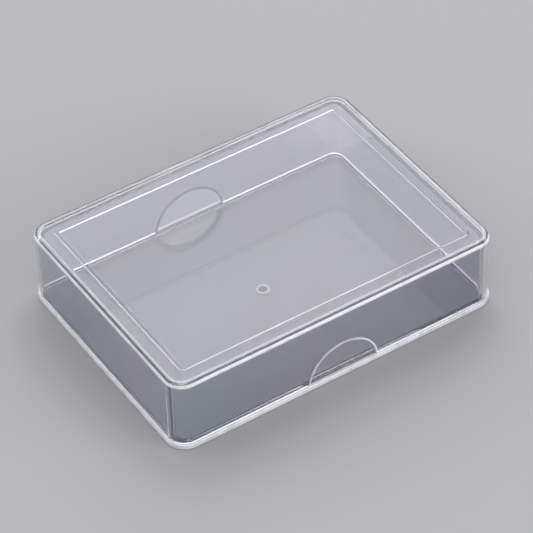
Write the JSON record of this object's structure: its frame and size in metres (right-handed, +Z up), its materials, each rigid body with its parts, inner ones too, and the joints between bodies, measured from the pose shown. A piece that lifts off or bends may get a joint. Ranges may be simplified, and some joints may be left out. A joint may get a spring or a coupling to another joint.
{
  "type": "card deck box",
  "caption": "Clear two-piece box for a deck of cards: a tray on a flanged base under a deep lift-off lid with half-round thumb notches in its long sides.",
  "frame": {"origin": "centre of the underside of the base, where the box rests", "axes": "+X along the long sides, +Y across the box from one thumb notch to the other, +Z up and the way the lid lifts"},
  "size_m": [0.0958, 0.0708, 0.0218],
  "materials": {
    "clear_base": "gloss",
    "clear_lid": "gloss"
  },
  "bodies": {
    "base": {"base": "clear_base"},
    "lid": {"lid": "clear_lid"}
  },
  "joints": [
    {"name": "lid_lift", "type": "slide", "parent": "base", "child": "lid", "axis": [0, 0, 1], "range_m": [0, 0.035]}
  ]
}
